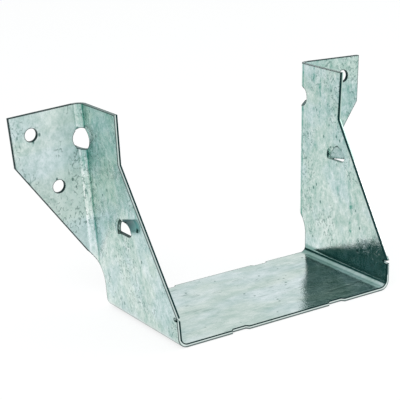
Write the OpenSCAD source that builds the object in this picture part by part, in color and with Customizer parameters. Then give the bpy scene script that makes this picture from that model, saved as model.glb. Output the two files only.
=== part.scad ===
// Face-mount joist hanger, folded from one piece of galvanised steel sheet.
// Right and left are as seen from the joist side, looking at the header.
// X runs across the joist, -Y is the joist side, +Y the header side and Z is up. The
// origin is the middle of the hanger's depth, on the seat's underside. The modules
// below measure Y from the header plane, the back of the header flanges.

/* [Sheet] */
// Thickness of the galvanised sheet
sheet_t = 1.2; // [0.9:0.1:1.6]
// Inside radius of the two bends between the seat and the side plates
seat_bend_r = 2; // [1.6:0.1:4]
// Inside radius of the two bends between the side plates and the header flanges
header_bend_r = 2.4; // [1.6:0.1:4]

/* [Stirrup] */
// Clear width between the side plates at the seat
pocket_w = 79.4; // [60:0.2:120]
// Angle by which each side plate leans out from upright
splay = 2.583; // [0:0.001:4]
// Length of the seat and of the plates' feet, from the header to the front edge
seat_depth = 50.8; // [46:0.2:60]
// How far the seat and the plates stop short of the header plane at the back
rear_gap = 5.7; // [5.2:0.1:7]
// Height of the hanger along its side plates
hanger_h = 68.9; // [66:0.1:90]
// Depth of the side plates at their top, from the header
top_depth = 24.1; // [20:0.1:26]
// Depth of the side plates at the knee, where the slanted front edge starts
knee_depth = 23.2; // [20:0.1:26]
// Height of the knee
knee_h = 52.7; // [48:0.1:60]
// Height at which the slanted front edge ends, above the upright foot
foot_h = 10.1; // [8:0.1:16]
// Depth of the small nick where the slanted front edge meets the foot
nick_depth = 1.8; // [1:0.1:4]
// Width of the slot that makes the nick
nick_w = 1; // [0.6:0.1:2]

/* [Header flanges] */
// Width of each header flange at its top, from the side plate's outer face
flange_w = 24.8; // [23:0.1:36]
// How much narrower the flange is at the foot of its outer edge
flange_taper = 0.4; // [0:0.1:2]
// Height at which the flange's outer edge ends and its slanted edge starts
flange_foot_h = 52.4; // [50:0.1:60]
// Height at which the slanted edge reaches the bend
slant_end_h = 18.9; // [17:0.1:26]
// Height at which the free edge leaves the bend and enters the side plate
heel_h = 13.7; // [12.5:0.1:16.5]
// Radius of the inside corner behind each side plate's foot
heel_r = 9; // [6:0.5:12]

/* [Header nail holes] */
// Diameter of the round nail holes in the flanges
nail_d = 4.3; // [3.6:0.1:5.2]
// Distance of the upper nail hole from the side plate's outer face
upper_hole_out = 17.8; // [15:0.1:19]
// Distance of the upper nail hole below the top edge
upper_hole_drop = 6.8; // [6:0.1:10]
// Distance of the lower nail hole from the side plate's outer face
lower_hole_out = 10.3; // [8:0.1:12]
// Height of the lower nail hole
lower_hole_h = 43.4; // [40:0.1:50]
// Radius of the hole pierced through each header bend
bend_hole_r = 3.6; // [3:0.1:4]
// Distance of the bend's hole below the top edge
bend_hole_drop = 11.6; // [9:0.1:14]
// Angle from the middle of the bend by which its hole sits towards the side plate
bend_hole_turn = 8; // [0:1:12]

/* [Nail guides] */
// Distance of the middle of each guide's opening from the header plane
guide_y = 21.6; // [20:0.1:23]
// Height of the middle of the opening in the left side plate
left_guide_h = 31.9; // [30:0.1:34]
// Height of the middle of the opening in the right side plate
right_guide_h = 40.4; // [38:0.1:42]
// Height of the opening
guide_hole_h = 4.3; // [4:0.1:5]
// Length of the opening, from the hood's cut edge to the scoop's cut edge
guide_span = 2; // [1.6:0.1:3]
// Radius of the scoop that is pressed inwards in front of the opening
scoop_r = 3.2; // [2.8:0.1:3.5]
// Depth of the scoop at its cut edge
scoop_depth = 2.4; // [1.8:0.1:2.6]
// Length of the scoop, from its cut edge to where it meets the plate's face
scoop_run = 4.4; // [3.6:0.1:5]
// How far the scoop's lower edge lies below the middle of the opening
scoop_drop = 0.7; // [0.2:0.1:1]
// Length of the slot left open under the scoop, from the opening's middle
slot_run = 5.8; // [5.2:0.1:6.2]
// Radius of the half-round hood that is raised outwards behind the opening
hood_r = 3.5; // [3.2:0.1:4]
// Height of the hood above the plate's outer face
hood_rise = 1.1; // [0.6:0.1:1.1]
// How far the hood's middle lies below the middle of the opening
hood_drop = 0.7; // [0.4:0.1:1]
// Radius of the shallow groove that leads into the left scoop
groove_r = 3.6; // [3:0.1:3.6]
// Radius of the ball that forms the groove's round end
groove_end_r = 3.8; // [3.7:0.1:4]
// Depth of the groove
groove_depth = 0.5; // [0.3:0.1:0.6]
// Distance of the groove's round end in front of the middle of the opening
groove_forward = 9.6; // [9:0.1:10]
// Height of the groove's round end above the middle of the opening
groove_up = 3; // [2.6:0.1:3.2]
// Angle by which the groove rises towards its round end
groove_rise = 17; // [10:1:20]

/* [Seat notches] */
// Width of the shallow notches in the seat's front and rear edges
notch_w = 6.4; // [4:0.1:10]
// Depth of the notches
notch_depth = 1; // [0.5:0.1:2]
// Distance between the two notches of each edge
notch_pitch = 37.5; // [30:0.5:50]
// How far the pair of notches sits to the right of the middle
notch_shift = 0.6; // [-2:0.1:2]
// Length over which each end of a notch slants
notch_slant = 0.8; // [0.4:0.1:1.5]

/* [Hidden] */
$fn = 64;
seat_outer_r = seat_bend_r + sheet_t;
header_outer_r = header_bend_r + sheet_t;
// heights along a side plate are measured from the axis of its seat bend
top_z = hanger_h - seat_outer_r;
// radius of the middle of the sheet in the header bend
header_mid_r = header_bend_r + sheet_t / 2;
flange_len = flange_w - header_bend_r;
// lean of the flange's outer edge and of the plate's upper front edge, in mm per mm
flange_lean = flange_taper / (hanger_h - flange_foot_h);
front_lean = (top_depth - knee_depth) / (hanger_h - knee_h);
plate_len = seat_depth - header_outer_r;
// cutters run this far past the sheet
over = 4;
// formed sheet runs this far into the plate it grows from
overlap = 0.2;
// parts of the header bend that each get a straight cut of the free edge
edge_steps = 6;
edge_step_angle = 90 / edge_steps;
edge_drop = (slant_end_h - heel_h) / edge_steps;
// the inside corner is an arc that touches the plate's upright rear edge
heel_cos = 1 - (rear_gap - header_outer_r) / heel_r;
heel_axis_z = heel_h - seat_outer_r - heel_r * sqrt(1 - heel_cos * heel_cos);
// sphere that meets the plate's outer face in a circle of the hood's radius
hood_sphere_r = (hood_r * hood_r + hood_rise * hood_rise) / (2 * hood_rise);

// a height above the seat's underside, seen from the axis of the seat bend
function up(h) = h - seat_outer_r;

// One side of the folded blank, in the frame of its side plate: the origin is the
// axis of the seat bend, X points out of the pocket and Z runs up the plate.
module side_blank() {
  // side plate
  translate([seat_bend_r, -seat_depth, 0]) cube([sheet_t, plate_len, top_z]);
  // header bend, then the header flange
  translate([seat_bend_r + sheet_t + header_bend_r, -header_outer_r, 0])
    rotate_extrude(angle = 90, start = 90)
      translate([header_bend_r, 0]) square([sheet_t, top_z]);
  translate([seat_bend_r + sheet_t + header_bend_r, -sheet_t, 0])
    cube([flange_len + over, sheet_t, top_z]);
  // seat bend
  translate([0, -rear_gap, 0]) rotate([90, 0, 0])
    rotate_extrude(angle = 90 - splay, start = splay - 90)
      translate([seat_bend_r, 0]) square([sheet_t, seat_depth - rear_gap]);
}

// Waste in front of the side plate: above the slanted edge, with the nick below it.
module front_waste() {
  translate([seat_bend_r + sheet_t + over, 0, 0]) rotate([0, -90, 0])
    linear_extrude(sheet_t + 2 * over) {
      polygon([
        [up(foot_h), -seat_depth - over],
        [up(foot_h), -seat_depth],
        [up(knee_h), -knee_depth],
        [top_z + over, -top_depth - front_lean * over],
        [top_z + over, -seat_depth - over]
      ]);
      translate([up(foot_h) - nick_w, -seat_depth - over])
        square([nick_w, over + nick_depth - nick_w / 2]);
      translate([up(foot_h) - nick_w / 2, -seat_depth + nick_depth - nick_w / 2])
        circle(d = nick_w);
    }
}

// Waste behind and below: round the flange's outer and slanted edges, under the free
// edge of the header bend, and behind the foot of the side plate.
module rear_waste() {
  bend_x = seat_bend_r + sheet_t + header_bend_r;
  // flange, cut square to its face
  translate([0, over, 0]) rotate([90, 0, 0]) linear_extrude(sheet_t + 2 * over)
    polygon([
      [bend_x, -over],
      [bend_x, up(slant_end_h)],
      [bend_x + flange_len - flange_taper, up(flange_foot_h)],
      [bend_x + flange_len + flange_lean * over, top_z + over],
      [bend_x + flange_len + 2 * over, top_z + over],
      [bend_x + flange_len + 2 * over, -over]
    ]);
  // header bend, cut square to the sheet in short steps
  translate([bend_x, -header_outer_r, 0])
    for (i = [0 : edge_steps - 1]) {
      mid = 90 + (i + 0.5) * edge_step_angle;
      half = header_mid_r * sin(edge_step_angle / 2);
      mid_z = up(slant_end_h) - (i + 0.5) * edge_drop;
      slope = edge_drop / (2 * half);
      reach = header_outer_r + over;
      intersection() {
        rotate_extrude(angle = edge_step_angle, start = mid - edge_step_angle / 2)
          translate([header_bend_r / 2, -over]) square([header_outer_r, top_z]);
        rotate([0, 0, mid]) rotate([90, 0, 90]) linear_extrude(reach)
          polygon([
            [-reach, -over - 1],
            [-reach, mid_z + slope * reach],
            [reach, mid_z - slope * reach],
            [reach, -over - 1]
          ]);
      }
    }
  // side plate, with the inside corner behind its foot
  translate([seat_bend_r - over, -rear_gap, -1])
    cube([bend_x + over, rear_gap + over, heel_axis_z + 1]);
  intersection() {
    translate([seat_bend_r - over, heel_r - rear_gap, heel_axis_z]) rotate([0, 90, 0])
      cylinder(r = heel_r, h = sheet_t + 2 * over);
    translate([0, -rear_gap - 1, heel_axis_z - 1])
      cube([bend_x, rear_gap + 1 - header_outer_r, heel_r + 1]);
  }
}

// Round nail holes in the flange, and the round hole pierced through the bend,
// which takes in a little of the flange and of the side plate.
module header_holes() {
  outer_x = seat_bend_r + sheet_t;
  bend_x = outer_x + header_bend_r;
  flange_chord = header_mid_r * sin(45 + bend_hole_turn);
  plate_chord = header_mid_r * sin(45 - bend_hole_turn);
  for (hole = [[upper_hole_out, hanger_h - upper_hole_drop], [lower_hole_out, lower_hole_h]])
    translate([outer_x + hole[0], over, up(hole[1])]) rotate([90, 0, 0])
      cylinder(d = nail_d, h = sheet_t + 2 * over);
  translate([0, 0, up(hanger_h - bend_hole_drop)]) {
    // part in the flange
    intersection() {
      translate([bend_x - flange_chord, over, 0]) rotate([90, 0, 0])
        cylinder(r = bend_hole_r, h = sheet_t + 2 * over);
      translate([bend_x, -header_outer_r, -2 * bend_hole_r])
        cube([2 * bend_hole_r, header_outer_r + over, 4 * bend_hole_r]);
    }
    // part in the side plate
    intersection() {
      translate([seat_bend_r - over, plate_chord - header_outer_r, 0]) rotate([0, 90, 0])
        cylinder(r = bend_hole_r, h = sheet_t + 2 * over);
      translate([0, -header_outer_r - 2 * bend_hole_r, -2 * bend_hole_r])
        cube([bend_x, 2 * bend_hole_r, 4 * bend_hole_r]);
    }
    // part in the bend
    intersection() {
      translate([bend_x, -header_outer_r, 0]) rotate([-90, 0, 45 + bend_hole_turn])
        cylinder(r = bend_hole_r, h = header_outer_r + over);
      translate([bend_x - header_outer_r - over, -header_outer_r, -2 * bend_hole_r])
        cube([header_outer_r + over, header_outer_r + over, 4 * bend_hole_r]);
    }
  }
}

// Sheet of a nail guide outside the plate: the scoop's wall pressed into the pocket
// in front of the opening, and the hood raised outwards behind it.
module guide_sheet(guide_h) {
  intersection() {
    scoop_bar(guide_h, scoop_r + sheet_t);
    translate([
      seat_bend_r - scoop_depth - over,
      -guide_y - guide_span / 2 - scoop_run,
      up(guide_h) - scoop_drop
    ])
      cube([scoop_depth + over + overlap, scoop_run, 3 * scoop_r]);
  }
  intersection() {
    hood_ball(guide_h, hood_sphere_r);
    translate([
      seat_bend_r + sheet_t - overlap,
      guide_span / 2 - guide_y,
      up(guide_h) - guide_hole_h / 2
    ])
      cube([hood_rise + over, 2 * hood_r, 2 * hood_r + guide_hole_h]);
  }
}

// Hollows of a nail guide: the scoop's, the hood's, the nail opening and the slot
// left open under the scoop.
module guide_hollow(guide_h) {
  outer_x = seat_bend_r + sheet_t;
  through = scoop_depth + 3 * over;
  intersection() {
    scoop_bar(guide_h, scoop_r);
    translate([
      outer_x - through + over,
      -guide_y - guide_span / 2 - 2 * scoop_run,
      up(guide_h) - scoop_drop
    ])
      cube([through, 2 * scoop_run, 3 * scoop_r]);
  }
  intersection() {
    hood_ball(guide_h, hood_sphere_r - sheet_t);
    translate([
      outer_x - sheet_t - over,
      guide_span / 2 - guide_y,
      up(guide_h) - guide_hole_h / 2
    ])
      cube([sheet_t + hood_rise + over, 2 * hood_r, 2 * hood_r + guide_hole_h]);
  }
  // opening, as high as the hood's and the scoop's cut edges
  translate([
    outer_x - through + over,
    -guide_y - guide_span / 2,
    up(guide_h) - guide_hole_h / 2
  ])
    cube([through, guide_span, guide_hole_h]);
  // slot under the scoop, with a round end
  translate([outer_x - through + over, -guide_y, up(guide_h)]) rotate([0, 90, 0])
    linear_extrude(through) intersection() {
      union() {
        translate([-guide_hole_h / 2, guide_hole_h / 2 - slot_run])
          square([guide_hole_h, slot_run - guide_hole_h / 2]);
        translate([0, guide_hole_h / 2 - slot_run]) circle(d = guide_hole_h);
      }
      translate([scoop_drop, -slot_run - 1]) square([guide_hole_h, slot_run + 1]);
    }
}

// Round bar that slopes into the pocket towards the header: the scoop's form.
module scoop_bar(guide_h, bar_r) {
  slope = atan(scoop_depth / scoop_run);
  translate([
    seat_bend_r + sheet_t + scoop_r / cos(slope) - scoop_depth,
    -guide_y - guide_span / 2,
    up(guide_h) - scoop_drop
  ])
    rotate([90, 0, slope])
      translate([0, 0, -2 * bar_r]) cylinder(r = bar_r, h = scoop_run + 6 * bar_r);
}

// Ball whose cap stands proud of the plate's outer face: the hood's form.
module hood_ball(guide_h, ball_r) {
  translate([
    seat_bend_r + sheet_t + hood_rise - hood_sphere_r,
    guide_span / 2 - guide_y,
    up(guide_h) - hood_drop
  ])
    sphere(r = ball_r);
}

// Round-ended bar that dents the plate's outer face: the form of the groove that
// leads down into the left scoop. Grown by the sheet's thickness, it is the form of
// the sheet behind the groove.
module groove_bar(guide_h, grown) {
  translate([
    seat_bend_r + sheet_t - groove_depth + groove_r,
    -guide_y - groove_forward,
    up(guide_h) + groove_up
  ]) {
    sphere(r = groove_end_r + grown);
    rotate([-90 - groove_rise, 0, 0])
      cylinder(r = groove_r + grown, h = groove_forward - guide_span);
  }
}

// One finished side, from the seat bend outwards. Only the lower guide has a groove,
// because the plate is deep enough there.
module side(guide_h, grooved) {
  translate([pocket_w / 2 - seat_bend_r, 0, seat_outer_r]) rotate([0, splay, 0])
    difference() {
      union() {
        difference() {
          side_blank();
          front_waste();
          rear_waste();
          header_holes();
        }
        guide_sheet(guide_h);
        // sheet behind the groove
        if (grooved) intersection() {
          groove_bar(guide_h, sheet_t);
          translate([
            seat_bend_r - groove_depth - over,
            -guide_y - groove_forward - 2 * groove_r,
            up(guide_h) - 2 * groove_r
          ])
            cube([
              groove_depth + over + overlap,
              groove_forward + 2 * groove_r - (guide_span + scoop_run) / 2,
              6 * groove_r
            ]);
        }
      }
      guide_hollow(guide_h);
      if (grooved) groove_bar(guide_h, 0);
    }
}

// Seat, with the shallow slant-ended notches in its front and rear edges.
module seat() {
  seat_w = pocket_w - 2 * seat_bend_r;
  difference() {
    translate([-seat_w / 2, -seat_depth, 0])
      cube([seat_w, seat_depth - rear_gap, sheet_t]);
    for (side_sign = [-1, 1])
      translate([notch_shift + side_sign * notch_pitch / 2, 0, -1])
        linear_extrude(sheet_t + 2) {
          translate([0, -seat_depth]) notch_outline();
          translate([0, -rear_gap]) mirror([0, 1]) notch_outline();
        }
  }
}

// Notch in an edge on the X axis, with the sheet above it.
module notch_outline() {
  polygon([
    [-notch_w / 2 - notch_slant / notch_depth, -1],
    [-notch_w / 2 + notch_slant, notch_depth],
    [notch_w / 2 - notch_slant, notch_depth],
    [notch_w / 2 + notch_slant / notch_depth, -1]
  ]);
}

// The whole hanger: one folded sheet.
module hanger() {
  color([0.72, 0.78, 0.77]) translate([0, seat_depth / 2, 0]) union() {
    seat();
    side(right_guide_h, false);
    mirror([1, 0, 0]) side(left_guide_h, true);
  }
}

hanger();
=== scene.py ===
"""Joist hanger folded from galvanised sheet: looks, light and camera around the CAD frame."""

import math

import bpy
from mathutils import Matrix, Vector

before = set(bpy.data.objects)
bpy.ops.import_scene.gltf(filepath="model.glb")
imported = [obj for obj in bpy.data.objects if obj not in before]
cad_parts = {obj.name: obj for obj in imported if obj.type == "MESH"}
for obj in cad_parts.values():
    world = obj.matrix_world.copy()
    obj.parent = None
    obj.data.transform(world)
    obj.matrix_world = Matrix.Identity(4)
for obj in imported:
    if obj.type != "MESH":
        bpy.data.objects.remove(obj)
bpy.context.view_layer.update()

# Lengths are in metres, and the lens in millimetres. The camera is on the joist side, a little above
# and left of the middle.
CAMERA_AT = Vector((-0.2388, -0.3649, 0.1695))
CAMERA_YAW = math.radians(31.47)
CAMERA_PITCH = math.radians(17.29)
CAMERA_ROLL = math.radians(-2.68)
CAMERA_LENS = 126.14

# Places on the sheet that its tone follows: the seat bends' axes, the sheet's faces as distances from
# them, the line where the header bends start, and how far out from the axes the flanges start.
BEND_AXIS_X = 0.0377
BEND_AXIS_Z = 0.0032
POCKET_FACE = 0.0020
OUTER_FACE = 0.0032
HEADER_BEND_Y = 0.0218
FLANGE_START = 0.0056
SPLAY = math.radians(2.583)
# The top of the nick above each foot, the middle of each nail guide, and the left guide's groove.
FOOT_TOP_Z = 0.0112
LEFT_GUIDE_Z = 0.0315
RIGHT_GUIDE_Z = 0.0405
GROOVE_Y = -0.0035
GROOVE_Z = 0.0347
GROOVE_TILT = math.radians(14)
# A slack beyond a face of the sheet.
HAIR = 0.0002

# Linear colours.
DARK_ZINC = (0.05, 0.28, 0.22, 1)
PALE_ZINC = (0.71, 0.80, 0.80, 1)
YELLOW_CAST = (1.0, 1.0, 0.95, 1)
BLUE_CAST = (0.97, 0.99, 1.0, 1)
SCUFF = (0.04, 0.15, 0.13, 1)
GROOVE_SHADE = (0.01, 0.07, 0.075, 1)
GROOVE_SOFT_SHADE = (0.10, 0.27, 0.26, 1)
CREASE_SHADE = (0.10, 0.25, 0.22, 1)
PALE_CUT = (0.74, 0.82, 0.79, 1)
CUT_HIGHLIGHT = (0.95, 0.96, 0.95, 1)
CUT_GREEN_HIGHLIGHT = (0.46, 0.62, 0.56, 1)
DARK_CUT_AND_SHADE = (0.004, 0.035, 0.035, 1)
SHARP_EDGE = (0.002, 0.025, 0.025, 1)
FLOOR = (0.93, 0.94, 0.94, 1)
STUDIO = (0.95, 0.98, 0.98, 1)
UNLIT_WALL = (0.015, 0.085, 0.08, 1)
WHITE = (1, 1, 1, 1)


def make_camera():
    ahead = Vector((math.sin(CAMERA_YAW) * math.cos(CAMERA_PITCH),
                    math.cos(CAMERA_YAW) * math.cos(CAMERA_PITCH),
                    -math.sin(CAMERA_PITCH)))
    level = Vector((math.cos(CAMERA_YAW), -math.sin(CAMERA_YAW), 0))
    top = level.cross(ahead)
    right = level * math.cos(CAMERA_ROLL) + top * math.sin(CAMERA_ROLL)
    up = top * math.cos(CAMERA_ROLL) - level * math.sin(CAMERA_ROLL)
    data = bpy.data.cameras.new("camera")
    data.lens = CAMERA_LENS
    data.sensor_width = 36
    data.clip_start = 0.01
    data.clip_end = 20
    camera = bpy.data.objects.new("camera", data)
    bpy.context.scene.collection.objects.link(camera)
    turn = Matrix((right, up, -ahead)).transposed().to_4x4()
    camera.matrix_world = Matrix.Translation(CAMERA_AT) @ turn
    bpy.context.scene.camera = camera


class Nodes:
    """Short hand for building a node tree. Every method but add gives output sockets."""

    def __init__(self, tree):
        self.tree = tree
        tree.nodes.clear()

    def add(self, kind, settings=None, **inputs):
        """A new node. An input is named, or iN for the one at place N, with _ for a space."""
        node = self.tree.nodes.new(kind)
        for name, value in (settings or {}).items():
            setattr(node, name, value)
        for name, value in inputs.items():
            by_number = name[0] == "i" and name[1:].isdigit()
            key = int(name[1:]) if by_number else name.replace("_", " ")
            if isinstance(value, bpy.types.NodeSocket):
                self.tree.links.new(value, node.inputs[key])
            else:
                node.inputs[key].default_value = value
        return node

    def math(self, what, *values):
        inputs = {f"i{place}": value for place, value in enumerate(values)}
        return self.add("ShaderNodeMath", {"operation": what}, **inputs).outputs[0]

    def product(self, *values):
        result = values[0]
        for value in values[1:]:
            result = self.math("MULTIPLY", result, value)
        return result

    def highest(self, *values):
        result = values[0]
        for value in values[1:]:
            result = self.math("MAXIMUM", result, value)
        return result

    def total(self, *terms):
        """Sum of (value, weight) pairs."""
        result = None
        for value, weight in terms:
            part = self.math("MULTIPLY", value, weight)
            result = part if result is None else self.math("ADD", result, part)
        return result

    def opposite(self, mask):
        """1 where the mask is 0."""
        return self.math("SUBTRACT", 1.0, mask)

    def over(self, value, limit):
        return self.math("GREATER_THAN", value, limit)

    def under(self, value, limit):
        return self.math("LESS_THAN", value, limit)

    def off(self, value, middle):
        """How far the value is from the middle, either way."""
        return self.math("ABSOLUTE", self.math("SUBTRACT", value, middle))

    def ramp(self, value, low, high, out_low=0.0, out_high=1.0, smooth=True):
        kind = "SMOOTHSTEP" if smooth else "LINEAR"
        node = self.add("ShaderNodeMapRange", {"interpolation_type": kind},
                        i0=value, i1=low, i2=high, i3=out_low, i4=out_high)
        return node.outputs[0]

    def fade(self, value, low, high):
        """1 up to low, fading to 0 at high."""
        return self.ramp(value, low, high, 1.0, 0.0)

    def band(self, value, start, full, leave, end):
        """1 between full and leave, fading to 0 at start and end."""
        return self.product(self.ramp(value, start, full), self.fade(value, leave, end))

    def mix(self, factor, a, b, blend="MIX"):
        settings = {"data_type": "RGBA", "clamp_factor": False, "blend_type": blend}
        return self.add("ShaderNodeMix", settings, i0=factor, i6=a, i7=b).outputs[2]

    def stretch(self, vector, scale, turn=(0, 0, 0)):
        return self.add("ShaderNodeMapping", Vector=vector, Rotation=turn, Scale=scale).outputs[0]

    def noise(self, vector, scale, detail, rough=0.5):
        node = self.add("ShaderNodeTexNoise", Vector=vector, Scale=scale, Detail=detail, Roughness=rough)
        return node.outputs["Fac"]

    def cells(self, vector, scale, channel):
        """Distance inside each Voronoi cell, and one channel of the cell's own value."""
        node = self.add("ShaderNodeTexVoronoi", {"feature": "F1"}, Vector=vector, Scale=scale)
        split = self.add("ShaderNodeSeparateColor", Color=node.outputs["Color"])
        return node.outputs["Distance"], split.outputs[channel]

    def split(self, vector):
        return self.add("ShaderNodeSeparateXYZ", Vector=vector).outputs[0:3]


class Sheet:
    """Where a shaded point lies on the folded sheet."""

    def __init__(self, n):
        coordinates = n.add("ShaderNodeTexCoord")
        self.place = coordinates.outputs["Object"]
        self.x, self.y, self.z = n.split(self.place)
        self.normal_x, self.normal_y, self.normal_z = n.split(coordinates.outputs["Normal"])
        side_x = n.math("SUBTRACT", n.math("ABSOLUTE", self.x), BEND_AXIS_X)
        side_z = n.math("SUBTRACT", self.z, BEND_AXIS_Z)
        # how far out from the side plate
        self.out = n.total((side_x, math.cos(SPLAY)), (side_z, -math.sin(SPLAY)))
        # distance from the seat bend's axis, POCKET_FACE to OUTER_FACE inside the sheet
        outward = n.math("POWER", n.highest(self.out, 0.0), 2.0)
        downward = n.math("POWER", n.highest(n.product(side_z, -1.0), 0.0), 2.0)
        self.depth = n.math("SQRT", n.total((outward, 1.0), (downward, 1.0)))
        # regions of the sheet
        self.left = n.under(self.x, 0.0)
        self.right = n.opposite(self.left)
        self.seat = n.fade(self.z, 0.0013, 0.0030)
        self.flange = n.over(self.out, FLANGE_START)
        self.plate = n.product(n.opposite(self.flange), n.opposite(self.seat))
        self.bend = n.product(n.over(self.y, HEADER_BEND_Y), n.under(self.out, FLANGE_START))
        # 0 where the header bend leaves the side plate, 1 where it reaches the flange
        behind = n.math("SUBTRACT", self.y, HEADER_BEND_Y)
        inside = n.math("SUBTRACT", FLANGE_START, self.out)
        self.round_bend = n.math("DIVIDE", n.math("ARCTAN2", behind, inside), math.pi / 2)


def sheared_faces(n, at):
    """Masks for the faces where the sheet was cut: pale ones, a painted highlight, and dark ones that
    also carry painted shade on the nail guides and the lower rims.
    """
    along_y = n.math("ABSOLUTE", at.normal_y)
    sideways = n.under(along_y, 0.5)
    in_sheet = n.product(n.over(at.depth, POCKET_FACE - HAIR), n.under(at.depth, OUTER_FACE + HAIR))
    front = n.product(n.under(at.y, HEADER_BEND_Y - HAIR), n.over(along_y, 0.5), in_sheet)
    right_plate = n.product(n.over(at.x, 0.03), n.over(at.z, 0.005))
    pale = n.product(front, n.opposite(right_plate))

    # the right plate's front edge is dark on the pocket's side and has a painted highlight on the outer
    # side
    change = (0.00265, 0.0029)
    pocket_side_dark = n.product(front, right_plate, n.fade(at.depth, *change))
    bright = n.product(front, right_plate, n.ramp(at.depth, *change), n.over(at.z, FOOT_TOP_Z))

    # a pale cut's rim on the pocket's side is torn and dark, its other rim is a thin line
    reach = n.total((1.0, 0.0025), (at.seat, -0.0002))
    torn = n.product(pale, n.fade(n.math("SUBTRACT", at.depth, reach), 0.0, 0.0002))
    thin_line = n.product(pale, n.ramp(at.depth, 0.00285, 0.00305))

    top = n.product(n.over(at.normal_z, 0.8), n.over(at.z, 0.03))
    flange_rim = n.product(at.flange, sideways)

    # the shadowed lower rim of the feet and the seat
    left_foot = n.product(at.left, sideways, n.ramp(at.z, 0.0012, 0.0018, 0.8, 0.0))
    lower_rim = n.highest(n.fade(at.z, 0.0002, 0.0009), left_foot)
    lower_rim = n.product(lower_rim, n.over(at.depth, 0.0027))

    # painted shade on the walls and shells of the nail guides, the left guide's ledge most of all
    guide_z = n.total((at.left, LEFT_GUIDE_Z - RIGHT_GUIDE_Z), (1.0, RIGHT_GUIDE_Z))
    near_guide = n.product(n.over(at.y, -0.006), n.under(at.y, 0.014),
                           n.under(n.off(at.z, guide_z), 0.0075))
    tilted = n.fade(n.math("ABSOLUTE", at.normal_x), 0.70, 0.96)
    ledge = n.product(at.left, n.ramp(at.normal_z, 0.4, 0.7))
    guide_shade = n.product(near_guide, tilted, n.total((at.left, 0.25), (ledge, 0.6), (1.0, 0.08)))

    dark = n.highest(pocket_side_dark, torn, flange_rim, guide_shade, n.product(thin_line, 0.8),
                     n.product(lower_rim, 0.85), n.product(top, 0.6))
    return pale, bright, dark


def groove_shade_masks(n, at):
    """Masks for the painted shade in the left guide's groove: where it lies, and where it turns softer.
    """
    ahead = n.math("SUBTRACT", GROOVE_Y, at.y)
    above = n.math("SUBTRACT", at.z, GROOVE_Z)
    along = n.total((ahead, math.cos(GROOVE_TILT)), (above, math.sin(GROOVE_TILT)))
    across = n.total((above, math.cos(GROOVE_TILT)), (ahead, -math.sin(GROOVE_TILT)))
    groove = n.product(at.left, n.over(at.depth, 0.0025),
                       n.band(across, -0.0040, -0.0018, 0.0014, 0.0019),
                       n.band(along, -0.007, -0.006, 0.002, 0.0062))
    shade_fade = n.ramp(n.total((along, 1.0), (across, -1.0)), -0.004, 0.003)
    return groove, shade_fade


def rubbed_lines(n, at, mottle):
    """Mask for three upright lines that are rubbed into the right plate."""
    upper = n.product(n.band(at.y, 0.0115, 0.0120, 0.0124, 0.0130), n.ramp(at.z, 0.048, 0.056))
    beside = n.product(n.band(at.y, 0.0152, 0.0158, 0.0162, 0.0170), n.ramp(at.z, 0.056, 0.062))
    lower = n.product(n.band(at.y, -0.0075, -0.0066, -0.0056, -0.0045),
                      n.band(at.z, 0.010, 0.014, 0.024, 0.030))
    lines = n.total((upper, 0.45), (beside, 0.3), (lower, 0.4))
    return n.product(lines, at.right, at.plate, n.ramp(mottle, 0.35, 0.62, 1.0, 0.2))


def small_marks(n, at, rolled):
    """Mask for dark scuffs in patches, single specks, and fine scratches across the seat."""
    wander = n.off(n.noise(rolled, 620.0, 1.0), 0.5)
    scuff = n.product(n.fade(wander, 0.015, 0.06),
                      n.ramp(n.noise(rolled, 130.0, 2.0), 0.47, 0.58),
                      n.ramp(n.noise(at.place, 1300.0, 0.0), 0.44, 0.52),
                      n.total((1.0, 1.0), (at.seat, -0.8)))
    distance, chance = n.cells(rolled, 560.0, 1)
    speck = n.product(n.fade(distance, 0.15, 0.32), n.ramp(chance, 0.92, 0.94))
    dragged = n.stretch(at.place, (0.10, 1.0, 1.0), (0, 0, math.radians(-24)))
    scratch = n.product(at.seat, n.fade(n.off(n.noise(dragged, 420.0, 1.0), 0.5), 0.004, 0.02),
                        n.ramp(n.noise(at.place, 110.0, 1.0), 0.50, 0.62))
    return n.highest(n.product(scuff, 0.55), n.product(speck, 0.8), n.product(scratch, 0.4))


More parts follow.
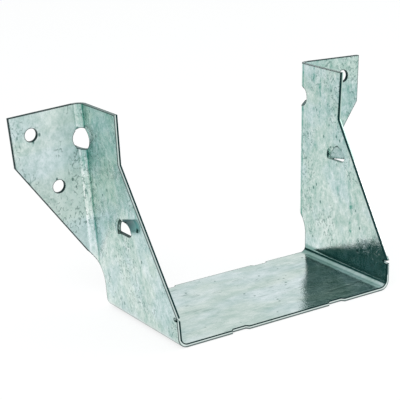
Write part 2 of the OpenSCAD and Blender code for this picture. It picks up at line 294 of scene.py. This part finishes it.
def galvanised():
    material = bpy.data.materials.new("galvanised_steel")
    material.use_nodes = True
    n = Nodes(material.node_tree)
    at = Sheet(n)

    # the zinc's pattern runs up the plates, and is softer and lies along the width on the seat
    rolled = n.stretch(at.place, (1.0, 1.0, 0.72), (math.radians(8), 0, 0))
    cloud = n.noise(at.place, 75.0, 3.0, 0.6)
    mottle = n.noise(rolled, 560.0, 4.0, 0.85)
    _, grain = n.cells(rolled, 420.0, 0)
    smeared = n.stretch(at.place, (0.35, 1.0, 1.0))
    soft = n.noise(smeared, 330.0, 4.0, 0.75)
    on_plates = n.product(n.math("SUBTRACT", mottle, 0.5), n.opposite(at.seat))
    on_seat = n.product(n.math("SUBTRACT", soft, 0.5), at.seat)
    # long rubbed bands up the plates
    drawn = n.stretch(at.place, (1.0, 1.0, 0.06))
    rubbed = n.ramp(n.noise(drawn, 210.0, 2.0), 0.56, 0.72)

    # painted shade: the plates are darker higher up, the left one most of all
    height = n.ramp(at.z, 0.012, 0.060)
    upper_shade = n.product(height, n.opposite(at.flange), n.total((at.left, 0.20), (1.0, 0.14)))
    # painted highlight: the left flange is pale, most of all beside its bend
    on_flange = n.product(at.flange, n.ramp(at.out, 0.026, 0.010, 0.12, 0.50))
    on_bend = n.product(at.bend, n.ramp(at.round_bend, 0.45, 1.0, 0.0, 0.50))
    pale = n.product(at.left, n.math("ADD", on_flange, on_bend))
    # a painted shade stripe and a painted highlight stripe run along the header bend
    bend_shade = n.product(at.bend, n.band(at.round_bend, -0.2, 0.0, 0.12, 0.25))
    bend_highlight = n.product(at.bend, n.band(at.round_bend, 0.2, 0.28, 0.44, 0.58))

    # painted light and shade in the tone: the seat is lighter and the right flange darker
    tone = n.total((1.0, 0.315), (cloud, 0.70), (on_plates, 1.6), (on_seat, 1.0), (grain, 0.14),
                   (rubbed, -0.08), (upper_shade, -1.0), (pale, 1.0), (n.product(at.flange, at.right), -0.12),
                   (bend_shade, -0.38), (bend_highlight, 0.16), (at.seat, 0.13), (at.plate, 0.03),
                   (rubbed_lines(n, at, mottle), -1.0))
    tone = n.highest(n.math("MINIMUM", tone, 1.35), 0.0)
    colour = n.mix(tone, DARK_ZINC, PALE_ZINC)
    # a faint cast of yellow and blue that wanders over the zinc
    cast = n.ramp(n.noise(smeared, 90.0, 2.0), 0.38, 0.62)
    colour = n.mix(1.0, colour, n.mix(cast, YELLOW_CAST, BLUE_CAST), "MULTIPLY")

    mark = small_marks(n, at, rolled)
    colour = n.mix(mark, colour, SCUFF)
    # painted shade in the left guide's groove
    groove, shade_fade = groove_shade_masks(n, at)
    colour = n.mix(groove, colour, n.mix(shade_fade, GROOVE_SHADE, GROOVE_SOFT_SHADE))
    # painted shade in the right seat bend's inside, darkest towards the rear
    inside_bend = n.product(n.ramp(at.x, 0.0368, 0.0384), n.fade(at.z, 0.0034, 0.0046),
                            n.under(at.depth, POCKET_FACE + HAIR))
    crease_shade = n.product(inside_bend, n.ramp(at.y, -0.024, 0.020, 0.35, 0.75, smooth=False))
    colour = n.mix(crease_shade, colour, CREASE_SHADE)

    cut_pale, cut_highlight, cut_dark_and_shade = sheared_faces(n, at)
    colour = n.mix(n.product(cut_pale, 0.7), colour, PALE_CUT)
    # the painted highlight on the right plate's front edge is greener in its upper half
    colour = n.mix(cut_highlight, colour, n.mix(n.ramp(at.z, 0.0385, 0.0405), CUT_HIGHLIGHT, CUT_GREEN_HIGHLIGHT))
    # dark cut faces, with painted shade on the nail guides' walls and painted shadow on the lower rims
    colour = n.mix(cut_dark_and_shade, colour, DARK_CUT_AND_SHADE)

    # painted shade: a dark line on both sides of each sharp edge, faint on the right guide and none on
    # pale cuts or the painted highlight
    rounded = n.add("ShaderNodeBevel", {"samples": 8}, Radius=0.0006).outputs[0]
    face = n.add("ShaderNodeNewGeometry").outputs["Normal"]
    compared = n.add("ShaderNodeVectorMath", {"operation": "DOT_PRODUCT"}, i0=rounded, i1=face)
    right_guide = n.product(at.right, n.ramp(at.plate, 0.2, 0.8),
                            n.band(at.y, -0.008, -0.006, 0.014, 0.016),
                            n.band(at.z, 0.020, 0.022, 0.042, 0.044))
    edge = n.product(n.fade(compared.outputs["Value"], 0.92, 0.997),
                     n.opposite(n.highest(cut_pale, cut_highlight)),
                     n.total((1.0, 1.0), (right_guide, -0.55)))
    colour = n.mix(edge, colour, SHARP_EDGE)

    polish = n.ramp(tone, 0.0, 1.0, 0.07, 0.14, smooth=False)
    rough = n.total((polish, 1.0), (at.flange, 0.20), (height, 0.10))
    rough = n.highest(rough, n.product(n.highest(cut_dark_and_shade, edge), 0.55))
    uneven = n.total((mottle, 0.35), (cloud, 1.2), (mark, -0.25))
    bump = n.add("ShaderNodeBump", Strength=0.5, Distance=0.0002, Height=uneven)
    shader = n.add("ShaderNodeBsdfPrincipled", Base_Color=colour, Metallic=1.0, Roughness=rough,
                   Normal=bump.outputs[0])
    n.add("ShaderNodeOutputMaterial", Surface=shader.outputs[0])
    return material


def make_floor():
    """A pale floor a hair under the seat. The camera sees it near white, with the hanger's shadow."""
    half = 3.0
    mesh = bpy.data.meshes.new("floor")
    mesh.from_pydata([(-half, -half, 0), (half, -half, 0), (half, half, 0), (-half, half, 0)],
                     [], [(0, 1, 2, 3)])
    floor = bpy.data.objects.new("floor", mesh)
    floor.location.z = -HAIR
    bpy.context.scene.collection.objects.link(floor)
    material = bpy.data.materials.new("floor")
    material.use_nodes = True
    n = Nodes(material.node_tree)
    matte = n.add("ShaderNodeBsdfDiffuse", Color=FLOOR)
    glow = n.add("ShaderNodeEmission", Color=WHITE, Strength=1.0)
    path = n.add("ShaderNodeLightPath")
    share = n.total((path.outputs["Is Camera Ray"], 0.8), (path.outputs["Is Glossy Ray"], 0.7))
    mixed = n.add("ShaderNodeMixShader", i0=share, i1=matte.outputs[0], i2=glow.outputs[0])
    n.add("ShaderNodeOutputMaterial", Surface=mixed.outputs[0])
    mesh.materials.append(material)


def make_world():
    """A pale studio with a low unlit wall, behind the hanger on its left, that the steel mirrors."""
    world = bpy.data.worlds.new("studio")
    bpy.context.scene.world = world
    world.use_nodes = True
    n = Nodes(world.node_tree)
    right, back, up = n.split(n.add("ShaderNodeTexCoord").outputs["Generated"])
    unlit = n.product(n.fade(right, -0.34, -0.16), n.fade(up, 0.41, 0.52), n.ramp(back, 0.40, 0.55))
    soft = n.add("ShaderNodeBackground", Color=n.mix(unlit, STUDIO, UNLIT_WALL), Strength=0.9)
    white = n.add("ShaderNodeBackground", Color=WHITE, Strength=1.0)
    path = n.add("ShaderNodeLightPath")
    mixed = n.add("ShaderNodeMixShader", i0=path.outputs["Is Camera Ray"],
                  i1=soft.outputs[0], i2=white.outputs[0])
    n.add("ShaderNodeOutputWorld", Surface=mixed.outputs[0])


def add_lamp(name, at, size, power):
    """A square lamp that faces the middle of the hanger."""
    data = bpy.data.lights.new(name, "AREA")
    data.shape = "SQUARE"
    data.size = size
    data.energy = power
    lamp = bpy.data.objects.new(name, data)
    bpy.context.scene.collection.objects.link(lamp)
    lamp.location = at
    towards = Vector((0, 0, 0.03)) - Vector(at)
    lamp.rotation_euler = towards.to_track_quat("-Z", "Y").to_euler()


make_camera()
make_floor()
make_world()
add_lamp("key", (-0.5, -0.5, 0.9), 0.5, 5.0)
add_lamp("fill", (0.8, -0.3, 0.5), 0.6, 2.0)

steel = galvanised()
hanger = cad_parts["hanger"]
for slot in range(len(hanger.data.materials)):
    hanger.data.materials[slot] = steel

bpy.context.scene.view_settings.view_transform = "Standard"
